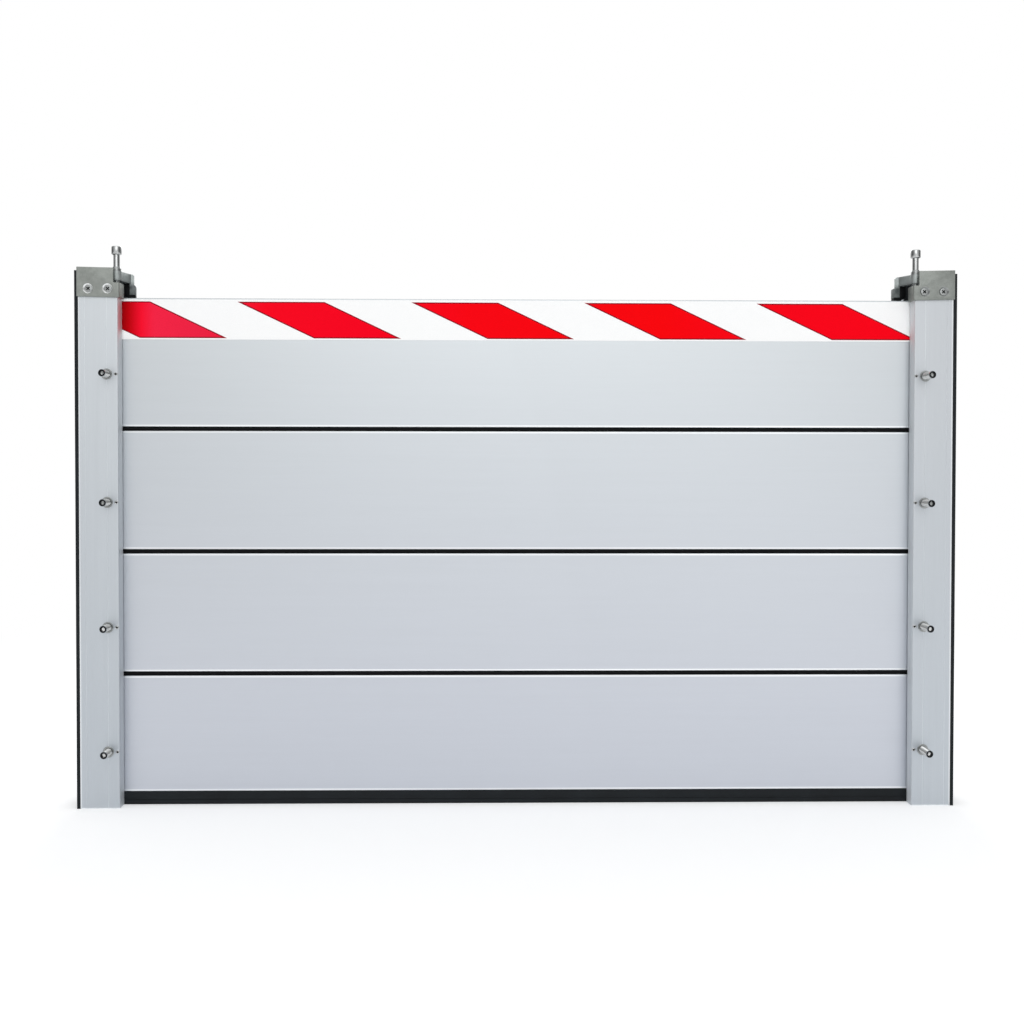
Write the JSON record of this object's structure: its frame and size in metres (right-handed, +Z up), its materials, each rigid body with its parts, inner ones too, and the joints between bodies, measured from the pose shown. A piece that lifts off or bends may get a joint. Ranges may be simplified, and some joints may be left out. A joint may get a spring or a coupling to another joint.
{
  "type": "demountable flood barrier bay",
  "caption": "Demountable flood barrier: hollow aluminium planks stacked between wall channels, with rubber seams, hazard tape, jack screws and hold-down clamps.",
  "frame": {"origin": "on the left wall's face, at the sill and at the middle of the channel's depth", "axes": "+X along the bay from the left wall to the right wall, -Y towards the dry side with the jack screws, +Z up"},
  "size_m": [1.424, 0.118, 0.907],
  "materials": {
    "channel_aluminium": "satin anodised extrusion",
    "plank_aluminium": "satin anodised extrusion",
    "rubber": "extruded solid rubber, matt",
    "white_film": "white reflective film",
    "red_film": "red reflective film",
    "bracket_steel": "tumbled stainless plate",
    "claw_steel": "cast stainless, blasted",
    "screw_steel": "bright stainless"
  },
  "bodies": {
    "frame": {"left_channel": "channel_aluminium", "right_channel": "channel_aluminium", "left_wall_seal": "rubber", "right_wall_seal": "rubber", "left_slot_seal": "rubber", "right_slot_seal": "rubber", "plank_1": "plank_aluminium", "plank_2": "plank_aluminium", "plank_3": "plank_aluminium", "plank_4": "plank_aluminium", "plank_seal_1": "rubber", "plank_seal_2": "rubber", "plank_seal_3": "rubber", "bottom_seal": "rubber", "hazard_tape": "white_film", "hazard_stripes": "red_film", "left_bracket": "bracket_steel", "right_bracket": "bracket_steel", "left_bracket_screws": "screw_steel", "right_bracket_screws": "screw_steel", "left_inserts": "screw_steel", "right_inserts": "screw_steel"},
    "left_clamp_screw": {"left_clamp_bolt": "screw_steel", "left_clamp_collar": "screw_steel"},
    "left_claw_arm": {"left_claw": "claw_steel", "left_claw_pad": "rubber"},
    "left_jack_1": {"left_jack_screw_1": "screw_steel"},
    "left_jack_2": {"left_jack_screw_2": "screw_steel"},
    "left_jack_3": {"left_jack_screw_3": "screw_steel"},
    "left_jack_4": {"left_jack_screw_4": "screw_steel"},
    "right_clamp_screw": {"right_clamp_bolt": "screw_steel", "right_clamp_collar": "screw_steel"},
    "right_claw_arm": {"right_claw": "claw_steel", "right_claw_pad": "rubber"},
    "right_jack_1": {"right_jack_screw_1": "screw_steel"},
    "right_jack_2": {"right_jack_screw_2": "screw_steel"},
    "right_jack_3": {"right_jack_screw_3": "screw_steel"},
    "right_jack_4": {"right_jack_screw_4": "screw_steel"}
  },
  "joints": [
    {"name": "left_clamp_lift", "type": "slide", "parent": "frame", "child": "left_clamp_screw", "axis": [0, 0, 1], "range_m": [0, 0.008]},
    {"name": "left_claw_swing", "type": "hinge", "parent": "left_clamp_screw", "child": "left_claw_arm", "pos_m": [0.064, -0.0295, 0.8595], "axis": [0, 0, -1], "range_deg": [0, 90]},
    {"name": "left_jack_1_turn_out", "type": "slide", "parent": "frame", "child": "left_jack_1", "axis": [0, -1, 0], "range_m": [0, 0.01]},
    {"name": "left_jack_2_turn_out", "type": "slide", "parent": "frame", "child": "left_jack_2", "axis": [0, -1, 0], "range_m": [0, 0.01]},
    {"name": "left_jack_3_turn_out", "type": "slide", "parent": "frame", "child": "left_jack_3", "axis": [0, -1, 0], "range_m": [0, 0.01]},
    {"name": "left_jack_4_turn_out", "type": "slide", "parent": "frame", "child": "left_jack_4", "axis": [0, -1, 0], "range_m": [0, 0.01]},
    {"name": "right_clamp_lift", "type": "slide", "parent": "frame", "child": "right_clamp_screw", "axis": [0, 0, 1], "range_m": [0, 0.008]},
    {"name": "right_claw_swing", "type": "hinge", "parent": "right_clamp_screw", "child": "right_claw_arm", "pos_m": [1.36, -0.0295, 0.8595], "axis": [0, 0, 1], "range_deg": [0, 90]},
    {"name": "right_jack_1_turn_out", "type": "slide", "parent": "frame", "child": "right_jack_1", "axis": [0, -1, 0], "range_m": [0, 0.01]},
    {"name": "right_jack_2_turn_out", "type": "slide", "parent": "frame", "child": "right_jack_2", "axis": [0, -1, 0], "range_m": [0, 0.01]},
    {"name": "right_jack_3_turn_out", "type": "slide", "parent": "frame", "child": "right_jack_3", "axis": [0, -1, 0], "range_m": [0, 0.01]},
    {"name": "right_jack_4_turn_out", "type": "slide", "parent": "frame", "child": "right_jack_4", "axis": [0, -1, 0], "range_m": [0, 0.01]}
  ]
}
